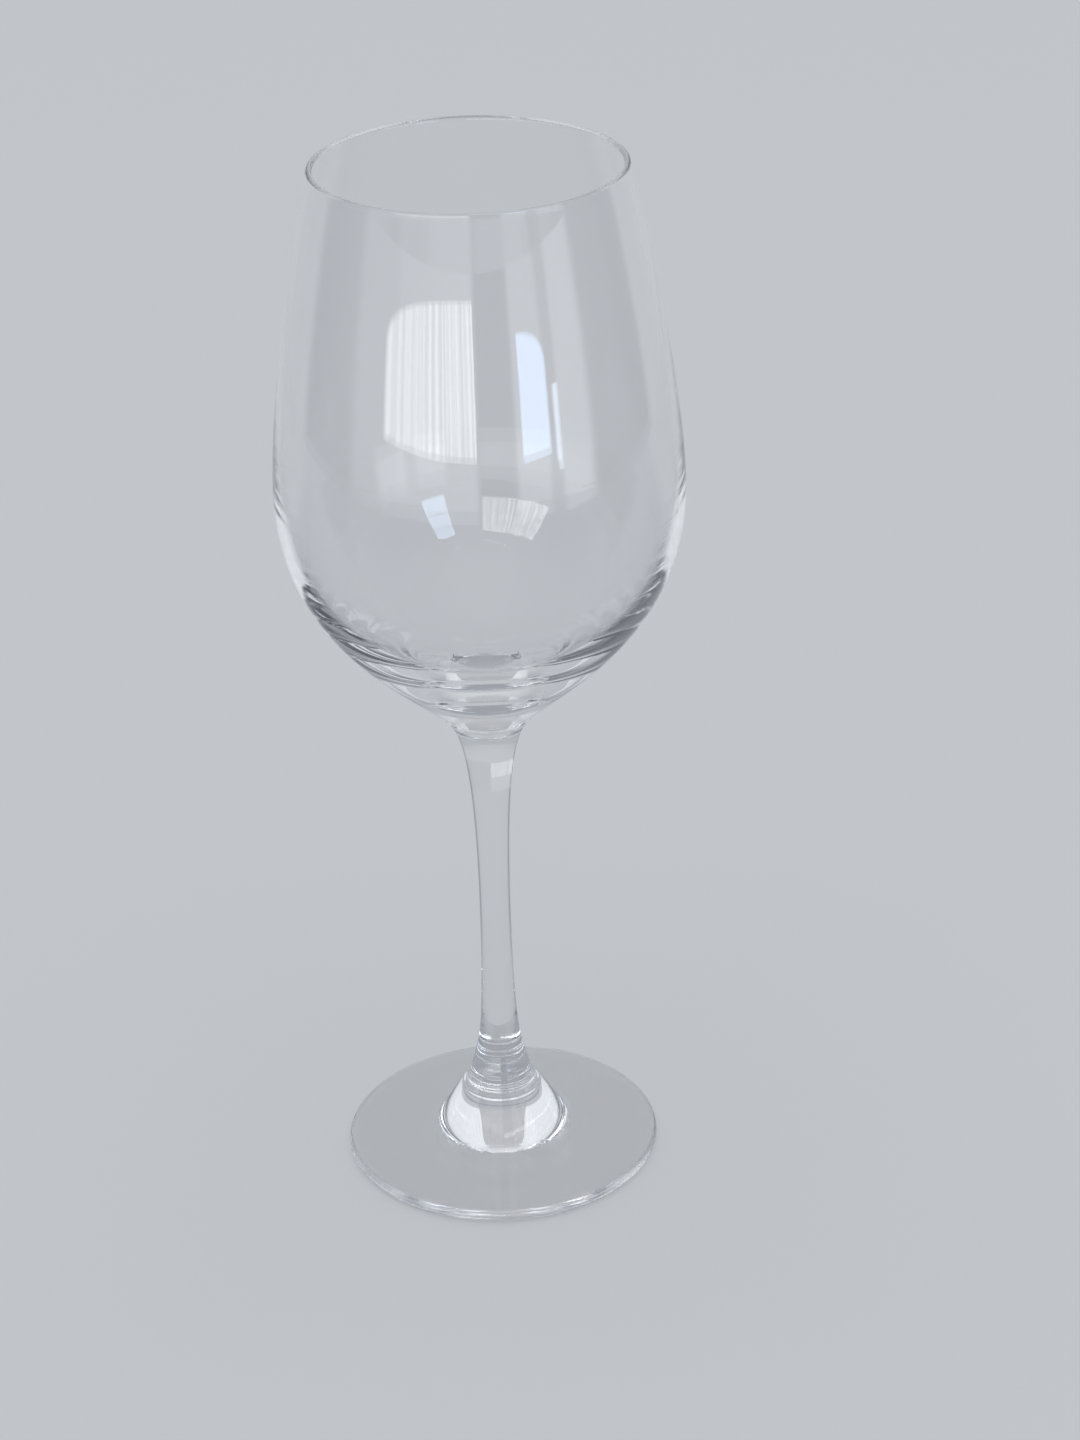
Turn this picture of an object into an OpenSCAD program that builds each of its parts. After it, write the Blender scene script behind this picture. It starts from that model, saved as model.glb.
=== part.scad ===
// Stemmed wine glass: a tulip bowl, a pulled stem and a disc foot, fused end to end.
// Millimetres. The axis of the glass is Z and the foot rests on the plane z = 0.

/* [Bowl] */
// Height of the bowl, from its seam with the stem to the lip
bowl_h = 116.5; // [100:0.5:135]
// Outside diameter at the lip
rim_d = 62; // [50:0.5:74]
// Outside diameter at the belly, the widest place
belly_d = 82; // [76:0.5:98]
// Height of the belly above the seam with the stem
belly_up = 50.5; // [42:0.5:60]
// Wall thickness at the lip, which is fully rounded
rim_wall = 1.3; // [0.9:0.1:2]
// Half the difference between the belly's diameter and the widest diameter inside
belly_wall = 1.5; // [1.4:0.1:3]
// Height of the inside's widest place above the belly, which thickens the wall below it
inside_up = 1.8; // [0:0.1:6]
// Solid glass between the inside of the bowl and the seam
floor_t = 9.8; // [8:0.1:13]
// Inward lean of the wall at the lip, in degrees
rim_lean = 13.9; // [5:0.1:20]
// Slant of the outside just above the seam, in degrees from upright
root_slant = 47.7; // [35:0.1:55]

/* [Stem] */
// Length of the stem between its two seams
stem_l = 82; // [60:0.5:110]
// Diameter at the waist, the thinnest place
waist_d = 6.5; // [5:0.1:9]
// Height of the waist above the lower seam
waist_up = 36.5; // [25:0.5:45]
// Slant of the flare just below the upper seam, in degrees from upright
flare_slant = 33.5; // [20:0.1:40]
// Slant of the stem just above the lower seam, in degrees from upright
ankle_slant = 18.3; // [5:0.1:25]

/* [Seams] */
// Diameter where the stem meets the bowl
upper_seam_d = 18.8; // [15:0.1:22]
// Diameter where the stem meets the foot
lower_seam_d = 10.8; // [9:0.1:13]
// Depth of the fine groove that each fused seam leaves
seam_dip = 0.12; // [0.05:0.01:0.3]
// Height of each side of that groove
seam_h = 0.3; // [0.2:0.05:0.6]

/* [Foot] */
// Outside diameter of the foot
foot_d = 66.8; // [56:0.2:80]
// Height of the foot, from the table to its seam with the stem
foot_h = 21.5; // [18:0.1:28]
// Thickness of the foot's rounded edge
edge_t = 2.5; // [1.8:0.1:3.2]
// Diameter just under the seam
neck_d = 11.3; // [10:0.1:14]
// Height of the neck under the seam
neck_h = 1.1; // [0.6:0.1:2]
// Diameter at the lower end of the ringed collar
collar_d = 17.2; // [15:0.1:20]
// Height of the ringed collar
collar_h = 6.6; // [4:0.1:8]
// Slant of the collar just below the neck, in degrees from upright
neck_slant = 9.8; // [5:0.1:20]
// Slant where the collar runs into the flank below it, in degrees from upright
flank_slant = 35.2; // [25:0.1:40]
// Number of rings on the collar
rings = 4; // [2:1:6]
// Height of a ring above the groove beside it
ring_t = 0.14; // [0.05:0.01:0.2]
// Diameter where the collar's flank runs out into the disc
brow_d = 30.4; // [26:0.2:36]
// Height of the disc there
brow_h = 5; // [4:0.1:6.5]
// Slope of the disc's upper face at the flank, in degrees
brow_slope = 10.5; // [6:0.1:14]
// Slope of the disc's upper face at the edge, in degrees
edge_slope = 7.3; // [3:0.1:10]
// Width of the flat ring that the foot rests on
land_w = 2.5; // [1.5:0.1:5]
// Depth of the hollow under the foot
hollow_h = 1.6; // [0.6:0.1:2.2]

/* [Curves] */
// Fullness of the bowl above the belly, as a share of the rise to the lip
shoulder_pull = 0.21; // [0.1:0.01:0.5]
// Straightness of the wall below the lip, as a share of the same rise
rim_pull = 0.3; // [0.1:0.01:0.5]
// Fullness of the bowl below the belly, as a share of the belly's height
belly_pull = 0.53; // [0.4:0.01:0.6]
// Straightness of the bowl above the seam, as a share of the belly's height
root_pull = 0.35; // [0.2:0.01:0.45]
// Fullness of the inside below its widest place, as a share of its depth there
well_side_pull = 0.74; // [0.5:0.01:0.78]
// Flatness of the inside's floor, as a share of its radius
well_floor_pull = 0.34; // [0.26:0.01:0.38]
// Length of the slender part above the waist, as a share of the stem above it
slim_pull = 0.92; // [0.7:0.01:0.95]
// Tightness of the flare, as a share of the stem above the waist
flare_pull = 0.084; // [0.05:0.001:0.15]
// Length of the slender part below the waist, as a share of the stem below it
ankle_pull = 0.71; // [0.5:0.01:0.85]
// Tightness of the stem's lower end, as a share of the stem below the waist
heel_pull = 0.108; // [0.05:0.001:0.2]
// Straightness of the collar's lower end, as a share of its height
collar_pull = 0.42; // [0.3:0.01:0.5]
// Straightness of the collar below the neck, as a share of its height
neck_pull = 0.33; // [0.2:0.01:0.4]
// Straightness of the flank below the collar, as a share of its height
flank_pull = 0.78; // [0.5:0.01:0.9]
// Softness of the bend from the flank into the disc, as a share of the flank's width
brow_pull = 0.34; // [0.2:0.01:0.5]

/* [Hidden] */

glass_bowl = [0.86, 0.91, 0.93, 0.55];
glass_stem = [0.72, 0.81, 0.85, 0.75];
glass_foot = [0.80, 0.87, 0.90, 0.65];

// Straight pieces in a long curve, in a short curve and in one ring of the collar
long_steps = 28;
short_steps = 12;
ring_steps = 8;

// Heights of the two seams, the belly, the inside's floor and the lip above the table
lower_seam_z = foot_h;
upper_seam_z = lower_seam_z + stem_l;
belly_z = upper_seam_z + belly_up;
floor_z = upper_seam_z + floor_t;
rim_z = upper_seam_z + bowl_h;

upper_seam_r = upper_seam_d / 2;
lower_seam_r = lower_seam_d / 2;

// Every outline is a list of points [distance from the axis, height].

// Unit step at an angle from upright, leaning away from the axis
function lean(angle) = [sin(angle), cos(angle)];

// Point at share t of the cubic curve from a to d that is pulled towards b and c
function cubic(a, b, c, d, t) =
    pow(1 - t, 3) * a + 3 * t * pow(1 - t, 2) * b + 3 * t * t * (1 - t) * c + pow(t, 3) * d;

// The same curve as a run of points, without its first one
function curve(a, b, c, d, steps) = [for (i = [1:steps]) cubic(a, b, c, d, i / steps)];

// Run of points on a circle, without its first one
function arc(centre, r, from, to, steps) =
    [for (i = [1:steps]) let (turn = from + (to - from) * i / steps) centre + r * [cos(turn), sin(turn)]];

// The lip: centre of its round, and the points where the outer and the inner wall run into it
lip_r = rim_wall / 2;
lip = [rim_d / 2 - lip_r, rim_z - lip_r];
lip_outer = lip + lip_r * [cos(rim_lean), sin(rim_lean)];
lip_inner = lip - lip_r * [cos(rim_lean), sin(rim_lean)];
rise = rim_z - belly_z;
lip_handle = rise * rim_pull * lean(-rim_lean);
belly_handle_up = [0, rise * shoulder_pull];

// Outside of the bowl, from the seam up to the lip
root = [upper_seam_r + seam_h * tan(root_slant), upper_seam_z + seam_h];
belly = [belly_d / 2, belly_z];
function bowl_outside() = concat(
    [[0, upper_seam_z], [upper_seam_r - seam_dip, upper_seam_z], root],
    curve(root, root + belly_up * root_pull * lean(root_slant),
        belly - [0, belly_up * belly_pull], belly, long_steps),
    curve(belly, belly + belly_handle_up, lip_outer - lip_handle, lip_outer, long_steps));

// Inside of the bowl, from the lip down to the middle of the floor
inner_belly = belly + [-belly_wall, inside_up];
well_depth = inner_belly.y - floor_z;
function bowl_inside() = concat(
    curve(lip_inner, lip_inner - lip_handle, inner_belly + belly_handle_up, inner_belly, long_steps),
    curve(inner_belly, inner_belly - [0, well_depth * well_side_pull],
        [inner_belly.x * well_floor_pull, floor_z], [0, floor_z], long_steps));

function bowl_outline() = concat(
    bowl_outside(),
    arc(lip, lip_r, rim_lean, 180 + rim_lean, short_steps),
    bowl_inside());

// Stem, from the lower seam to the upper one, solid to the axis
waist = [waist_d / 2, lower_seam_z + waist_up];
slim_l = stem_l - waist_up;
stem_bottom = [lower_seam_r, lower_seam_z + seam_h];
stem_top = [upper_seam_r, upper_seam_z - seam_h];
function stem_outline() = concat(
    [[0, lower_seam_z], [lower_seam_r - seam_dip, lower_seam_z], stem_bottom],
    curve(stem_bottom, stem_bottom + waist_up * heel_pull * lean(-ankle_slant),
        waist - [0, waist_up * ankle_pull], waist, long_steps),
    curve(waist, waist + [0, slim_l * slim_pull],
        stem_top - slim_l * flare_pull * lean(flare_slant), stem_top, long_steps),
    [[upper_seam_r - seam_dip, upper_seam_z], [0, upper_seam_z]]);

// Foot: underside, rounded edge, disc, flank, ringed collar and neck
foot_r = foot_d / 2;
edge_r = edge_t / 2;
edge = [foot_r - edge_r, edge_r];
edge_top = edge + edge_r * [sin(edge_slope), cos(edge_slope)];
land_inner_r = foot_r - edge_r - land_w;
hollow_r = (pow(land_inner_r, 2) + pow(hollow_h, 2)) / (2 * hollow_h);
hollow_span = asin(land_inner_r / hollow_r);
brow = [brow_d / 2, brow_h];
neck = [neck_d / 2, lower_seam_z - neck_h];
collar_end = [collar_d / 2, neck.y - collar_h];
flank_h = collar_end.y - brow_h;
flank_w = brow.x - collar_end.x;
disc_w = edge_top.x - brow.x;

// Radius of a ripple that is a ring high and nothing at both ends of the collar
function ripple(t) = ring_t / 2 * (1 - cos(360 * rings * t));

function collar() = [for (i = [1:rings * ring_steps]) let (t = i / (rings * ring_steps))
    cubic(collar_end, collar_end + collar_h * collar_pull * lean(-flank_slant),
        neck - collar_h * neck_pull * lean(-neck_slant), neck, t) + [ripple(t), 0]];

function foot_outline() = concat(
    [[0, hollow_h]],
    arc([0, hollow_h - hollow_r], hollow_r, 90, 90 - hollow_span, short_steps),
    [[edge.x, 0]],
    arc(edge, edge_r, -90, 90 - edge_slope, short_steps),
    curve(edge_top, edge_top + disc_w / 3 * [-cos(edge_slope), sin(edge_slope)],
        brow + disc_w / 3 * [cos(brow_slope), -sin(brow_slope)], brow, short_steps),
    curve(brow, brow + flank_w * brow_pull * [-cos(brow_slope), sin(brow_slope)],
        collar_end - flank_h * flank_pull * lean(-flank_slant), collar_end, long_steps),
    collar(),
    [[lower_seam_r, lower_seam_z - seam_h], [lower_seam_r - seam_dip, lower_seam_z], [0, lower_seam_z]]);

module bowl() {
    color(glass_bowl) rotate_extrude($fn = 144) polygon(bowl_outline());
}

module stem() {
    color(glass_stem) rotate_extrude($fn = 96) polygon(stem_outline());
}

module foot() {
    color(glass_foot) rotate_extrude($fn = 144) polygon(foot_outline());
}

bowl();
stem();
foot();
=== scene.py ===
"""A clear stemmed wine glass: tulip bowl, pulled stem and disc foot, fused end to end.

Each piece is a surface of revolution. Its outline is worked out as arrays of distance from the axis and
height, then swept round the axis on a grid. Sizes are in millimetres and are turned into metres once, when
a mesh is made.
"""
import math

import bpy
import numpy as np
from mathutils import Matrix, Vector


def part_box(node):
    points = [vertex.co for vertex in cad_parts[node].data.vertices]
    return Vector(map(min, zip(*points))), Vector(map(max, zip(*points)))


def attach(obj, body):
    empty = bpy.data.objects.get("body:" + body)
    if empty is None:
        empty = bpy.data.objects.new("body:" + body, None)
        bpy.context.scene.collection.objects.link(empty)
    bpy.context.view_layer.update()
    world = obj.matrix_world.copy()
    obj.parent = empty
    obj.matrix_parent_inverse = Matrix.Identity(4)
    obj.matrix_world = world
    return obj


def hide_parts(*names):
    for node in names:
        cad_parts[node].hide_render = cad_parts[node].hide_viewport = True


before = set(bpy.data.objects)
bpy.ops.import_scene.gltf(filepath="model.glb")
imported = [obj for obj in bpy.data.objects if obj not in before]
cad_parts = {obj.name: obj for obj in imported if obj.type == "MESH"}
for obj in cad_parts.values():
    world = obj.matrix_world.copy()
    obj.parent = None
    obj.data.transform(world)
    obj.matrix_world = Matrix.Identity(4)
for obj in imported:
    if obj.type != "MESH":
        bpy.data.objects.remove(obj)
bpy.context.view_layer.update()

MM = 0.001

# ---------------------------------------------------------------- sizes, in millimetres

BOWL_LOW, BOWL_HIGH = (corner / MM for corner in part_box("bowl"))
STEM_LOW, STEM_HIGH = (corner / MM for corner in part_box("stem"))
FOOT_LOW, FOOT_HIGH = (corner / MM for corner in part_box("foot"))

RIM_Z = BOWL_HIGH.z
UPPER_SEAM_Z = STEM_HIGH.z
LOWER_SEAM_Z = STEM_LOW.z
BELLY_R = BOWL_HIGH.x
FOOT_R = FOOT_HIGH.x
UPPER_SEAM_R = STEM_HIGH.x

BELLY_Z = UPPER_SEAM_Z + 50.5
RIM_R = 31.0
RIM_WALL = 1.3
BELLY_WALL = 1.5
INSIDE_UP = 1.8
FLOOR_Z = UPPER_SEAM_Z + 9.8
RIM_LEAN = math.radians(13.9)
ROOT_SLANT = math.radians(47.7)

WAIST_R = 3.25
WAIST_Z = LOWER_SEAM_Z + 36.5
FLARE_SLANT = math.radians(33.5)
ANKLE_SLANT = math.radians(18.3)

LOWER_SEAM_R = 5.4
SEAM_DIP = 0.12
SEAM_H = 0.3

EDGE_R = 1.25
NECK_R = 5.65
NECK_H = 1.1
COLLAR_R = 8.6
COLLAR_H = 6.6
NECK_SLANT = math.radians(9.8)
FLANK_SLANT = math.radians(35.2)
RINGS = 4
RING_T = 0.14
BROW_R = 15.2
BROW_Z = 5.0
BROW_SLOPE = math.radians(10.5)
EDGE_SLOPE = math.radians(7.3)
LAND_W = 2.5
HOLLOW_H = 1.6

# How full or how straight each curve is, as a share of the stretch that it shapes
SHOULDER_PULL, RIM_PULL, BELLY_PULL, ROOT_PULL = 0.21, 0.3, 0.53, 0.35
WELL_SIDE_PULL, WELL_FLOOR_PULL = 0.74, 0.34
SLIM_PULL, FLARE_PULL, ANKLE_PULL, HEEL_PULL = 0.92, 0.084, 0.71, 0.108
COLLAR_PULL, NECK_PULL, FLANK_PULL, BROW_PULL = 0.42, 0.33, 0.78, 0.34

# Points in a long curve, in a short curve and in one ring of the collar, and steps round the axis
LONG, SHORT, RING_STEPS = 56, 20, 14
ROUND_STEPS = 384
# Edges bent more sharply than this stay crisp
CREASE = math.radians(40)
# Degrees round the bowl that one flat of a curved card spans
CARD_STEP = 3


# ---------------------------------------------------------------- outlines

def at(r, z):
    """A point of an outline: distance from the axis, height."""
    return np.array([r, z], float)


def lean(angle):
    """Unit step at an angle from upright, leaning away from the axis."""
    return at(math.sin(angle), math.cos(angle))


def cubic(a, b, c, d, steps):
    """Cubic curve from a to d pulled towards b and c: the four points weighted by the terms of
    ((1 - t) + t) cubed, for t from 0 to 1. The first point is left off, so that curves chain."""
    t = np.linspace(0, 1, steps + 1)[1:, None]
    return (1 - t) ** 3 * a + 3 * t * (1 - t) ** 2 * b + 3 * t * t * (1 - t) * c + t ** 3 * d


def arc(centre, radius, start, end, steps):
    """Points on a circle from one angle to another, measured from the outward direction, first left off."""
    angle = np.linspace(start, end, steps + 1)[1:]
    return centre + radius * np.stack([np.cos(angle), np.sin(angle)], axis=1)


def chain(*runs):
    """One outline from single points and runs of points."""
    return np.concatenate([np.atleast_2d(run) for run in runs])


def bowl_outline():
    """Seam, outside up to the rounded lip, inside down to the middle of the floor."""
    rise = RIM_Z - BELLY_Z
    up = BELLY_Z - UPPER_SEAM_Z
    depth = BELLY_Z + INSIDE_UP - FLOOR_Z
    lip_r = RIM_WALL / 2
    lip = at(RIM_R - lip_r, RIM_Z - lip_r)
    side = lip_r * at(math.cos(RIM_LEAN), math.sin(RIM_LEAN))
    lip_handle = RIM_PULL * rise * lean(-RIM_LEAN)
    belly_handle = at(0, SHOULDER_PULL * rise)
    root = at(UPPER_SEAM_R + SEAM_H * math.tan(ROOT_SLANT), UPPER_SEAM_Z + SEAM_H)
    belly, inner = at(BELLY_R, BELLY_Z), at(BELLY_R - BELLY_WALL, BELLY_Z + INSIDE_UP)
    return chain(
        at(0, UPPER_SEAM_Z), at(UPPER_SEAM_R - SEAM_DIP, UPPER_SEAM_Z), root,
        cubic(root, root + ROOT_PULL * up * lean(ROOT_SLANT),
              belly - at(0, BELLY_PULL * up), belly, LONG),
        cubic(belly, belly + belly_handle, lip + side - lip_handle, lip + side, LONG),
        arc(lip, lip_r, RIM_LEAN, math.pi + RIM_LEAN, SHORT),
        cubic(lip - side, lip - side - lip_handle, inner + belly_handle, inner, LONG),
        cubic(inner, inner - at(0, WELL_SIDE_PULL * depth),
              at(WELL_FLOOR_PULL * inner[0], FLOOR_Z), at(0, FLOOR_Z), LONG))


def stem_outline():
    """Lower seam, ankle, waist, flare and upper seam, solid to the axis."""
    below, above = WAIST_Z - LOWER_SEAM_Z, UPPER_SEAM_Z - WAIST_Z
    bottom = at(LOWER_SEAM_R, LOWER_SEAM_Z + SEAM_H)
    waist = at(WAIST_R, WAIST_Z)
    top = at(UPPER_SEAM_R, UPPER_SEAM_Z - SEAM_H)
    return chain(
        at(0, LOWER_SEAM_Z), at(LOWER_SEAM_R - SEAM_DIP, LOWER_SEAM_Z), bottom,
        cubic(bottom, bottom + HEEL_PULL * below * lean(-ANKLE_SLANT),
              waist - at(0, ANKLE_PULL * below), waist, LONG),
        cubic(waist, waist + at(0, SLIM_PULL * above),
              top - FLARE_PULL * above * lean(FLARE_SLANT), top, LONG),
        at(UPPER_SEAM_R - SEAM_DIP, UPPER_SEAM_Z), at(0, UPPER_SEAM_Z))


def foot_outline():
    """Hollow underside, resting ring, rounded edge, disc, flank, ringed collar and neck."""
    edge = at(FOOT_R - EDGE_R, EDGE_R)
    edge_top = edge + EDGE_R * lean(EDGE_SLOPE)
    land_r = FOOT_R - EDGE_R - LAND_W
    hollow_r = (land_r ** 2 + HOLLOW_H ** 2) / (2 * HOLLOW_H)
    span = math.asin(land_r / hollow_r)
    brow = at(BROW_R, BROW_Z)
    neck = at(NECK_R, LOWER_SEAM_Z - NECK_H)
    collar_end = at(COLLAR_R, neck[1] - COLLAR_H)
    disc_w, flank_w, flank_h = edge_top[0] - BROW_R, BROW_R - COLLAR_R, collar_end[1] - BROW_Z
    out_disc = at(math.cos(BROW_SLOPE), -math.sin(BROW_SLOPE))
    in_disc = at(-math.cos(EDGE_SLOPE), math.sin(EDGE_SLOPE))
    collar = cubic(collar_end, collar_end + COLLAR_PULL * COLLAR_H * lean(-FLANK_SLANT),
                   neck - NECK_PULL * COLLAR_H * lean(-NECK_SLANT), neck, RINGS * RING_STEPS)
    turn = np.linspace(0, 2 * math.pi * RINGS, RINGS * RING_STEPS + 1)[1:]
    collar[:, 0] += RING_T / 2 * (1 - np.cos(turn))
    return chain(
        at(0, HOLLOW_H), arc(at(0, HOLLOW_H - hollow_r), hollow_r, math.pi / 2, math.pi / 2 - span, SHORT),
        at(edge[0], 0), arc(edge, EDGE_R, -math.pi / 2, math.pi / 2 - EDGE_SLOPE, SHORT),
        cubic(edge_top, edge_top + disc_w / 3 * in_disc, brow + disc_w / 3 * out_disc, brow, LONG),
        cubic(brow, brow - BROW_PULL * flank_w * out_disc,
              collar_end - FLANK_PULL * flank_h * lean(-FLANK_SLANT), collar_end, LONG),
        collar,
        at(LOWER_SEAM_R, LOWER_SEAM_Z - SEAM_H), at(LOWER_SEAM_R - SEAM_DIP, LOWER_SEAM_Z),
        at(0, LOWER_SEAM_Z))


# ---------------------------------------------------------------- meshes

def turned(name, outline, fused_start=False, fused_end=False):
    """Surface of revolution: point (i, j) is the outline's point i carried round the axis by share j of a
    turn. Both ends of the outline lie on the axis and become single poles. The flat fan of faces at a fused
    end takes the second material."""
    ring = outline[1:-1] * MM
    turn = np.linspace(0, 2 * math.pi, ROUND_STEPS, endpoint=False)
    rows = len(ring)
    grid = np.empty((rows, ROUND_STEPS, 3))
    grid[..., 0] = ring[:, :1] * np.cos(turn)
    grid[..., 1] = ring[:, :1] * np.sin(turn)
    grid[..., 2] = ring[:, 1:]
    poles = np.array([[0, 0, outline[0, 1]], [0, 0, outline[-1, 1]]]) * MM
    i = np.arange(rows - 1)[:, None] * ROUND_STEPS
    j = np.arange(ROUND_STEPS)
    k = np.roll(j, -1)
    start, end, last_row = rows * ROUND_STEPS, rows * ROUND_STEPS + 1, (rows - 1) * ROUND_STEPS
    quads = np.stack([i + j, i + k, i + ROUND_STEPS + k, i + ROUND_STEPS + j], axis=-1).reshape(-1, 4)
    start_fan = np.stack([np.full_like(j, start), k, j], axis=1)
    end_fan = np.stack([np.full_like(j, end), last_row + j, last_row + k], axis=1)
    mesh = bpy.data.meshes.new(name)
    mesh.from_pydata(np.concatenate([grid.reshape(-1, 3), poles]).tolist(), [],
                     quads.tolist() + start_fan.tolist() + end_fan.tolist())
    mesh.shade_smooth()
    mesh.set_sharp_from_angle(angle=CREASE)
    slots = np.zeros(len(quads) + 2 * ROUND_STEPS, np.int32)
    slots[len(quads):len(quads) + ROUND_STEPS] = fused_start
    slots[len(quads) + ROUND_STEPS:] = fused_end
    mesh.polygons.foreach_set("material_index", slots)
    piece = bpy.data.objects.new(name, mesh)
    bpy.context.scene.collection.objects.link(piece)
    return piece


def card(name, left, right, low, high, distance):
    """An upright curved card round the bowl: point (i, j) is share i of the way from the left to the right
    azimuth and share j of the way up, and its UV holds those two shares."""
    columns = max(2, int((right - left) / CARD_STEP) + 1)
    share = np.linspace(0, 1, columns)
    azimuth = np.radians(left + (right - left) * share)
    level = BELLY_Z * MM + distance * np.tan(np.radians([low, high]))
    grid = np.empty((columns, 2, 3))
    grid[..., 0] = distance * np.sin(azimuth)[:, None]
    grid[..., 1] = -distance * np.cos(azimuth)[:, None]
    grid[..., 2] = level
    i = 2 * np.arange(columns - 1)[:, None]
    mesh = bpy.data.meshes.new(name)
    mesh.from_pydata(grid.reshape(-1, 3).tolist(), [], (i + [0, 2, 3, 1]).tolist())
    corner = np.tile([[0, 0], [1, 0], [1, 1], [0, 1]], (columns - 1, 1, 1)).astype(float)
    corner[..., 0] = (corner[..., 0] + np.arange(columns - 1)[:, None]) / (columns - 1)
    mesh.uv_layers.new(name="across_and_up").data.foreach_set("uv", corner.ravel())
    piece = bpy.data.objects.new(name, mesh)
    bpy.context.scene.collection.objects.link(piece)
    piece.visible_camera = False
    return piece


# ---------------------------------------------------------------- materials

# Turning rings round the belly: how far apart and how deep they are, and the heights between which they fade
# in below it and out above it, in millimetres
TURNING_GAP, TURNING_DEPTH = 1.3, 0.006
TURNING_START, TURNING_END = (124, 136), (158, 176)
# The glass's cast, from its clearest to its greyest
CLEAR, GREYISH = (0.987, 0.99, 0.992, 1), (0.97, 0.977, 0.983, 1)
SODA_GLASS_IOR = 1.52


class Socket:
    """A node's output. Arithmetic on it adds Math nodes to the same node tree."""

    def __init__(self, nodes, socket):
        self.nodes, self.socket = nodes, socket

    def __add__(self, other):
        return self.nodes.math("ADD", self, other)

    def __sub__(self, other):
        return self.nodes.math("SUBTRACT", self, other)

    def __rsub__(self, other):
        return self.nodes.math("SUBTRACT", other, self)

    def __mul__(self, other):
        return self.nodes.math("MULTIPLY", self, other)

    def __truediv__(self, other):
        return self.nodes.math("DIVIDE", self, other)

    __radd__ = __add__
    __rmul__ = __mul__

    def fade_in(self, low, high):
        """0 up to the low value, 1 from the high value on, and a smooth rise between them."""
        return self.nodes.add("ShaderNodeMapRange", {"interpolation_type": "SMOOTHSTEP"},
                              {"Value": self, "From Min": low, "From Max": high})


class Nodes:
    """The node tree of a material or of the world, cleared and built up from nothing."""

    def __init__(self, owner, output="ShaderNodeOutputMaterial"):
        owner.use_nodes = True
        self.tree = owner.node_tree
        self.tree.nodes.clear()
        self.output = self.tree.nodes.new(output)

    def add(self, kind, settings=None, sockets=None, out=0):
        """A node of that kind: its settings first, which may give a colour ramp's stops, then the values or
        links of its sockets."""
        node = self.tree.nodes.new(kind)
        for name, value in (settings or {}).items():
            if name == "stops":
                ramp = node.color_ramp.elements
                while len(ramp) < len(value):
                    ramp.new(0.5)
                for stop, (place, colour) in zip(ramp, value):
                    stop.position, stop.color = place, (*colour, 1)
            else:
                setattr(node, name, value)
        for name, value in (sockets or {}).items():
            if isinstance(value, Socket):
                self.tree.links.new(value.socket, self.pick(node.inputs, name))
            else:
                self.pick(node.inputs, name).default_value = value
        return Socket(self, self.pick(node.outputs, out))

    def math(self, operation, *values):
        """A Math node of that operation on those values."""
        return self.add("ShaderNodeMath", {"operation": operation}, dict(enumerate(values)))

    @staticmethod
    def pick(sockets, name):
        """The socket of that number, or the one in use of that name."""
        if isinstance(name, int):
            return sockets[name]
        return next(socket for socket in sockets if socket.name == name and socket.enabled)

    def finish(self, surface):
        self.tree.links.new(surface.socket, self.output.inputs["Surface"])


def glass(name, wave_depth):
    """Clear soda glass: faint turning rings round the belly, slow waves in the surface, and a cast that
    changes slowly through the glass."""
    material = bpy.data.materials.new(name)
    nodes = Nodes(material)
    where = nodes.add("ShaderNodeTexCoord", out="Object")
    height = nodes.add("ShaderNodeSeparateXYZ", {}, {"Vector": where}, out="Z")
    turning = nodes.add("ShaderNodeTexNoise", {"noise_dimensions": "1D"},
                        {"W": height / (TURNING_GAP * MM), "Scale": 1.0, "Detail": 1.0, "Roughness": 0.4})
    waves = nodes.add("ShaderNodeTexNoise", {}, {"Vector": where, "Scale": 28.0, "Detail": 1.0,
                                                 "Roughness": 0.35})
    belt = (height / MM).fade_in(*TURNING_START) - (height / MM).fade_in(*TURNING_END)
    relief = turning * belt * (TURNING_DEPTH * MM) + waves * (wave_depth * MM)
    normal = nodes.add("ShaderNodeBump", {}, {"Height": relief, "Distance": 1.0, "Strength": 1.0})
    cast = nodes.add("ShaderNodeTexNoise", {}, {"Vector": where, "Scale": 22.0, "Detail": 2.0})
    colour = nodes.add("ShaderNodeMix", {"data_type": "RGBA"}, {"Factor": cast, "A": CLEAR, "B": GREYISH},
                       out="Result")
    surface = nodes.add("ShaderNodeBsdfPrincipled", {},
                        {"Base Color": colour, "Roughness": 0.0, "IOR": SODA_GLASS_IOR,
                         "Transmission Weight": 1.0, "Normal": normal})
    nodes.finish(surface)
    return material


def fused_seam():
    """The place inside the glass where two pieces have become one: light goes straight through it."""
    material = bpy.data.materials.new("fused_seam")
    nodes = Nodes(material)
    nodes.finish(nodes.add("ShaderNodeBsdfPrincipled", {}, {"Alpha": 0.0, "Base Color": (1, 1, 1, 1)}))
    return material


# ---------------------------------------------------------------- studio

# The ground's own colour, and its colour where it stands for a dim table or room
PALE = (0.6, 0.615, 0.64)
DIM = (0.34, 0.355, 0.39)
# How much of the ground shows as plain colour instead of paint that the lamp lights
GLOW = 0.6
# How far behind the glass its dim table gives way to the pale wall, in metres
WALL_Y = 0.12
# The dim strips at its sides: where each fades in and out, as distance behind the glass over distance aside,
# and how far aside of the glass it fades in, in metres
STRIP_START = (0.1, 0.25)
STRIP_END = (0.55, 0.75)
STRIP_X = (0.05, 0.09)
# Each kind of reflection, by the least and the most faces of glass that its light passes through: the
# outside's own, the near wall's inside, both of these, and the far wall's inside seen through the near wall
FACES = {"outside": (0, 0), "inside": (1, 3), "near": (0, 3), "far": (4, 5)}
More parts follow.
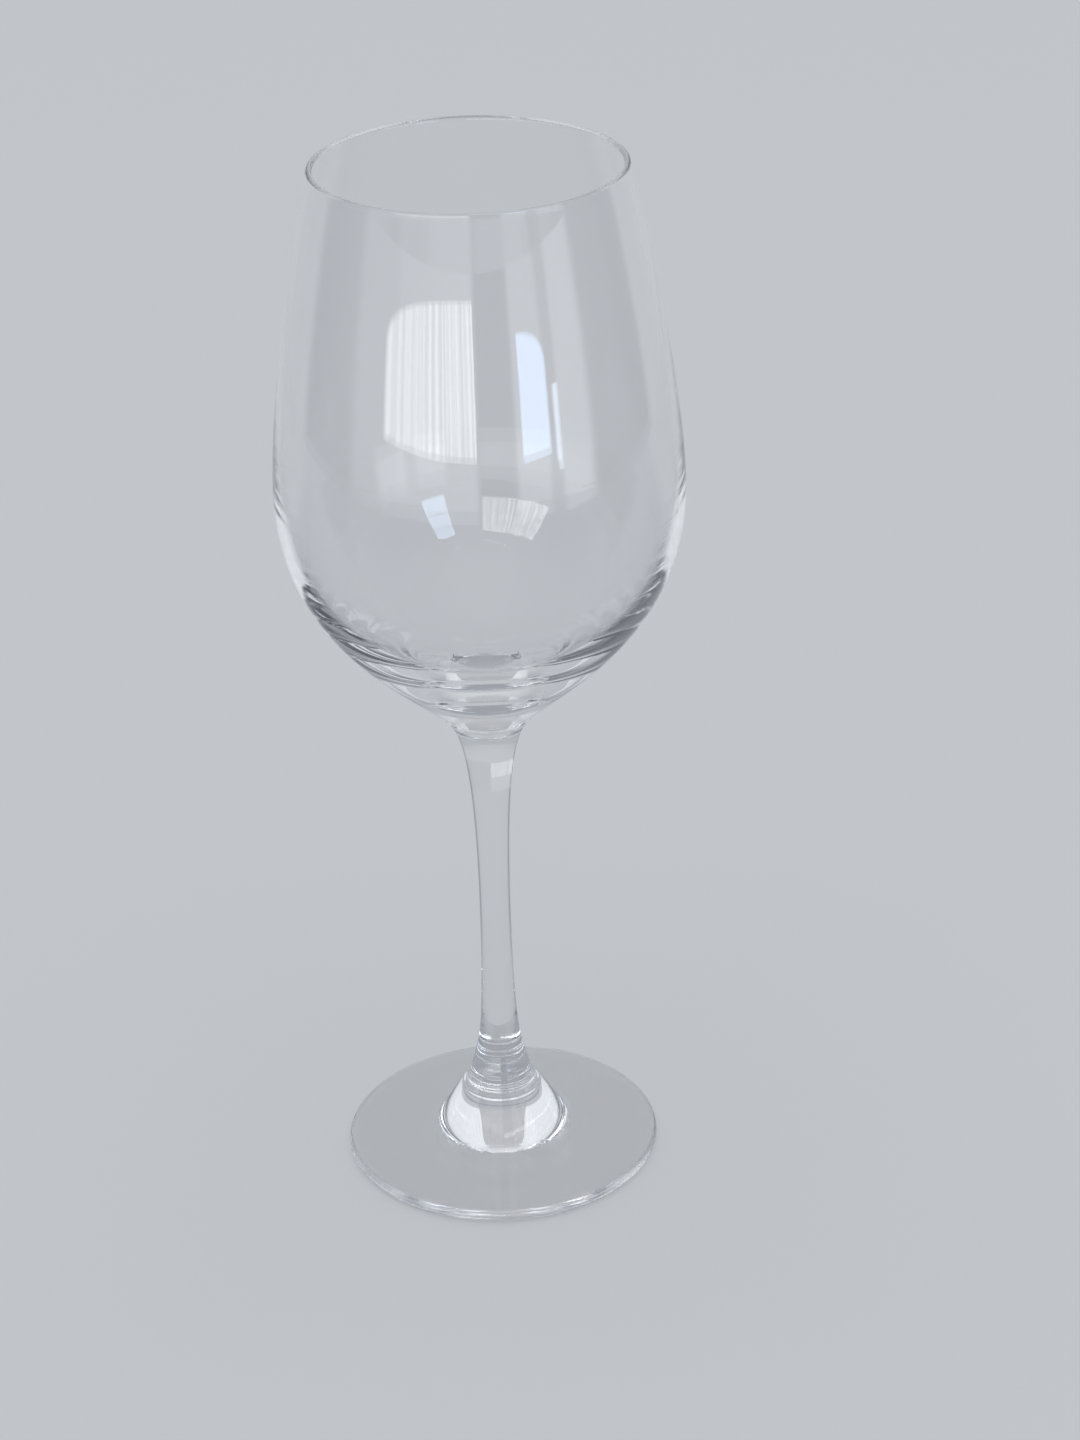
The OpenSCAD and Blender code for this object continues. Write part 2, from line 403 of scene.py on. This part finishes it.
# The least light that a sheer curtain's folds let through, and the share that a bar between panes takes away
FOLD_LIGHT, BAR_SHADE = 0.5, 0.45
# A wall's strength of light, what its level is divided by for red, green and blue, and what is then added to
# each, so that a dim wall is a little bluer
WALL_GLOW = 2.0
WALL_SHARES = np.array([2.0, 1.96, 1.9])
WALL_LIFT = np.array([0.0, 0.002, 0.01])
# The walls' stripes: azimuth in degrees from the front, and how bright the wall is there
LOW_STRIPES = (
    (-165, 0.55), (-114, 0.55), (-108, 0.1), (-76, 0.1), (-70, 0.7), (-47, 0.8), (-44, 1.1), (-2, 1.4),
    (1, 0.1), (19, 0.1), (22, 1.3), (38, 1.3), (40, 0.6), (45, 0.6), (47, 1.5), (63, 1.4), (68, 0.15),
    (110, 0.15), (114, 0.6), (165, 0.55))
MIDDLE_STRIPES = (
    (-165, 0.85), (-118, 0.85), (-104, 0.1), (-82, 0.1), (-76, 0.5), (-58, 0.5), (-52, 0.05), (-33, 0.05),
    (-26, 1.1), (33, 1.1), (38, 0.02), (42, 0.02), (46, 0.4), (54, 0.4), (58, 0.02), (82, 0.02), (86, 0.8),
    (100, 0.8), (118, 0.85), (165, 0.85))
HIGH_STRIPES = (
    (-165, 0.85), (-118, 0.85), (-100, 0.1), (-80, 0.15), (-55, 0.2), (-33, 0.1), (-26, 0.9), (31, 0.9),
    (36, 0.02), (57, 0.02), (62, 0.3), (78, 0.3), (82, 0.02), (95, 0.02), (118, 0.85), (165, 0.85))
DAYLIGHT, SKY = (1.0, 1.0, 1.0), (0.72, 0.90, 1.2)
# The sweep, in millimetres: its flat part, the round of its cove, its height, its thickness, and how far it
# lies below the foot
FLAT_R, COVE_R, SWEEP_H, SWEEP_T, GAP_UNDER = 3200, 800, 1200, 2, 0.1
# The bends and reflections that light may go through: thick glass carries it round inside itself for long
LIGHT_TURNS = 200


def pale_ground(name):
    """Matt pale ground that shows its own colour plainly to the eye and almost straight through the glass.
    Where a face of the glass mirrors it, it is dim, as a table is, up to where a wall would stand behind the
    glass. Where the glass bends light in from a dim strip on either side of it, that strip is drawn."""
    material = bpy.data.materials.new(name)
    nodes = Nodes(material)
    seen, mirrored, through, turns = [nodes.add("ShaderNodeLightPath", out=kind) for kind in (
        "Is Camera Ray", "Is Glossy Ray", "Is Transmission Ray", "Glossy Depth")]
    matt = nodes.add("ShaderNodeBsdfDiffuse", {}, {"Color": (*PALE, 1)})
    plain = nodes.add("ShaderNodeEmission", {}, {"Color": (*PALE, 1), "Strength": 1.0})
    dim = nodes.add("ShaderNodeEmission", {}, {"Color": (*DIM, 1), "Strength": 1.0})
    shown = seen + mirrored + through
    glow = nodes.math("MINIMUM", shown, 1.0) * GLOW
    pale = nodes.add("ShaderNodeMixShader", {}, {0: glow, 1: matt, 2: plain})
    where = nodes.add("ShaderNodeTexCoord", out="Object")
    across, away = [nodes.add("ShaderNodeSeparateXYZ", {}, {"Vector": where}, out=axis) for axis in "XY"]
    aside = nodes.math("ABSOLUTE", across)
    turned_back = nodes.math("MINIMUM", turns, 1.0)
    table = turned_back * (1.0 - away.fade_in(WALL_Y, 2 * WALL_Y))
    slant = away / aside
    strip = slant.fade_in(*STRIP_START) * (1.0 - slant.fade_in(*STRIP_END)) * aside.fade_in(*STRIP_X)
    bent = through * (1.0 - turned_back) * strip
    nodes.finish(nodes.add("ShaderNodeMixShader", {}, {0: table + bent, 1: pale, 2: dim}))
    return material


def across_and_up(nodes):
    """The two shares that a curved card's UV holds."""
    uv = nodes.add("ShaderNodeTexCoord", out="UV")
    return [nodes.add("ShaderNodeSeparateXYZ", {}, {"Vector": uv}, out=axis) for axis in "XY"]


def mirrored_only(nodes, colour, strength, showing=1.0, seen="all"):
    """Light that shows in the glass's reflections alone, and never straight through it. It may be kept to
    some of them, as FACES says, and a far one is kept to light that was turned back only once."""
    turns = nodes.add("ShaderNodeLightPath", out="Glossy Depth")
    faces = nodes.add("ShaderNodeLightPath", out="Transmission Depth")
    if seen in FACES:
        least, most = FACES[seen]
        showing = (showing * nodes.math("GREATER_THAN", faces, least - 0.5)
                   * nodes.math("LESS_THAN", faces, most + 0.5))
    if seen == "far":
        showing = showing * nodes.math("LESS_THAN", turns, 1.5)
    clear = nodes.add("ShaderNodeBsdfTransparent")
    light = nodes.add("ShaderNodeEmission", {}, {"Color": colour, "Strength": strength})
    nodes.finish(nodes.add("ShaderNodeMixShader", {},
                           {0: nodes.math("MINIMUM", turns, 1.0) * showing, 1: clear, 2: light}))


def window(name, left, right, low, high, colour, strength, pleats=0, arch=None, bars=(1, 1), seen="all",
           distance=0.66):
    """A bright window that fills those angles as seen from the bowl. It may have a sheer curtain hung in that
    many pleats, bars between its panes, and an arched top: arch gives the share across at which the arch is
    highest, and the share up at which it springs."""
    material = bpy.data.materials.new(name)
    material.cycles.emission_sampling = "NONE"
    nodes = Nodes(material)
    across, up = across_and_up(nodes)
    showing = 1.0
    if pleats:
        folds = nodes.add("ShaderNodeTexNoise", {"noise_dimensions": "1D"},
                          {"W": across * pleats, "Scale": 1.0, "Detail": 3.0})
        showing = folds.fade_in(0.35, 0.65) * (1 - FOLD_LIGHT) + FOLD_LIGHT
    for share, count in ((across, bars[0]), (up, bars[1])):
        if count > 1:
            bay = nodes.math("FRACT", share * count) - 0.5
            showing = showing * (1.0 - nodes.math("ABSOLUTE", bay).fade_in(0.42, 0.48) * BAR_SHADE)
    if arch:
        peak, spring = arch
        out = (across - peak) / max(peak, 1 - peak)
        over = nodes.math("MAXIMUM", (up - spring) / (1 - spring), 0.0)
        showing = showing * (1.0 - (out * out + over * over).fade_in(0.94, 1.0))
    mirrored_only(nodes, (*colour, 1), strength, showing, seen)
    card(name, left, right, low, high, distance).data.materials.append(material)


def wall(name, low, high, stripes, seen="all", distance=0.7):
    """A wall all round but behind the glass, painted in upright stripes that run into each other."""
    left, right = stripes[0][0], stripes[-1][0]
    material = bpy.data.materials.new(name)
    material.cycles.emission_sampling = "NONE"
    nodes = Nodes(material)
    across = across_and_up(nodes)[0]
    stops = [((azimuth - left) / (right - left), level / WALL_SHARES + WALL_LIFT)
             for azimuth, level in stripes]
    shade = nodes.add("ShaderNodeValToRGB", {"stops": stops}, {"Fac": across}, out="Color")
    mirrored_only(nodes, shade, WALL_GLOW, seen=seen)
    card(name, left, right, low, high, distance).data.materials.append(material)


def sweep():
    """The ground: flat, then carried up round the whole stage in one cove and a low wall."""
    out = FLAT_R + COVE_R
    outline = chain(
        at(0, -GAP_UNDER), at(FLAT_R, -GAP_UNDER),
        arc(at(FLAT_R, COVE_R - GAP_UNDER), COVE_R, -math.pi / 2, 0, SHORT),
        at(out, SWEEP_H), at(out + SWEEP_T, SWEEP_H), at(out + SWEEP_T, -SWEEP_T), at(0, -SWEEP_T))
    ground = turned("ground", outline)
    ground.data.materials.append(pale_ground("pale_ground"))


def overhead():
    """A broad soft lamp above everything, which the glass doesn't mirror."""
    lamp = bpy.data.lights.new("overhead", "AREA")
    lamp.size = 4
    lamp.energy = 46
    soft = bpy.data.objects.new("overhead", lamp)
    soft.location = (0, 0, 3)
    soft.visible_glossy = soft.visible_transmission = False
    bpy.context.scene.collection.objects.link(soft)


def room():
    """What the glass mirrors and bends from above the sweep: a pale ceiling, and walls that are pale behind
    the glass and dim in front of it."""
    world = bpy.data.worlds.new("room")
    bpy.context.scene.world = world
    nodes = Nodes(world, "ShaderNodeOutputWorld")
    way = nodes.add("ShaderNodeTexCoord", out="Generated")
    away, up = [nodes.add("ShaderNodeSeparateXYZ", {}, {"Vector": way}, out=axis) for axis in "YZ"]
    in_front, behind, ceiling = (0.07, 0.08, 0.115, 1), (0.5, 0.51, 0.54, 1), (0.95, 0.97, 1.0, 1)
    sides = nodes.add("ShaderNodeMix", {"data_type": "RGBA"},
                      {"Factor": away.fade_in(-0.5, 0.5), "A": in_front, "B": behind}, out="Result")
    shade = nodes.add("ShaderNodeMix", {"data_type": "RGBA"},
                      {"Factor": up.fade_in(0.6, 0.95) * 0.6, "A": sides, "B": ceiling}, out="Result")
    nodes.finish(nodes.add("ShaderNodeBackground", {}, {"Color": shade, "Strength": 1.0}))


def camera():
    """A viewer a little above the rim, who looks down at the glass with the head slightly tilted."""
    lens = bpy.data.cameras.new("camera")
    lens.sensor_width = 36
    lens.lens = 86.25
    lens.clip_start = 0.01
    viewer = bpy.data.objects.new("camera", lens)
    bpy.context.scene.collection.objects.link(viewer)
    where, aim = Vector((0, -0.6325, 0.4203)), Vector((0.0106, 0, 0.1010))
    tilt = Matrix.Rotation(math.radians(-1.67), 4, "Z")
    turn = (aim - where).to_track_quat("-Z", "Y").to_matrix().to_4x4()
    viewer.matrix_world = Matrix.Translation(where) @ turn @ tilt
    bpy.context.scene.camera = viewer


# ---------------------------------------------------------------- the glass in its studio

sweep()
room()
overhead()
camera()
wall("lower_wall", -12.4, 9, LOW_STRIPES)
wall("tall_wall", 9, 42, LOW_STRIPES, seen="outside")
wall("middle_wall", 9, 17, MIDDLE_STRIPES, seen="inside")
wall("upper_wall", 17, 42, HIGH_STRIPES, seen="inside")
window("curtained_window", -53, -1, -5.4, 7, DAYLIGHT, 4.6, pleats=26, arch=(1.0, 0.57), seen="near")
window("narrow_window", 24, 40, -6, 3.9, SKY, 5.0, arch=(0.0, 0.7), seen="near")
window("window_sliver", 43, 46, -7.7, -1, (0.85, 0.95, 1.1), 4.6, seen="near")
window("upper_curtain", -51, -1, 28, 51, DAYLIGHT, 6.5, pleats=26, bars=(4, 3), seen="far")
window("upper_window", 25, 42, 24, 51, SKY, 6.5, bars=(1, 3), seen="far")

seam = fused_seam()
for name, outline, fused_start, fused_end, wave_depth in (
        ("bowl", bowl_outline(), True, False, 0.03),
        ("stem", stem_outline(), True, True, 0.02),
        ("foot", foot_outline(), False, True, 0.03)):
    piece = turned("clear_" + name, outline, fused_start, fused_end)
    piece.data.materials.append(glass(name + "_glass", wave_depth))
    piece.data.materials.append(seam)
    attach(piece, "root")
    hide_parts(name)

bpy.context.scene.view_settings.view_transform = "Standard"
paths = bpy.context.scene.cycles
paths.max_bounces = paths.transmission_bounces = paths.glossy_bounces = LIGHT_TURNS
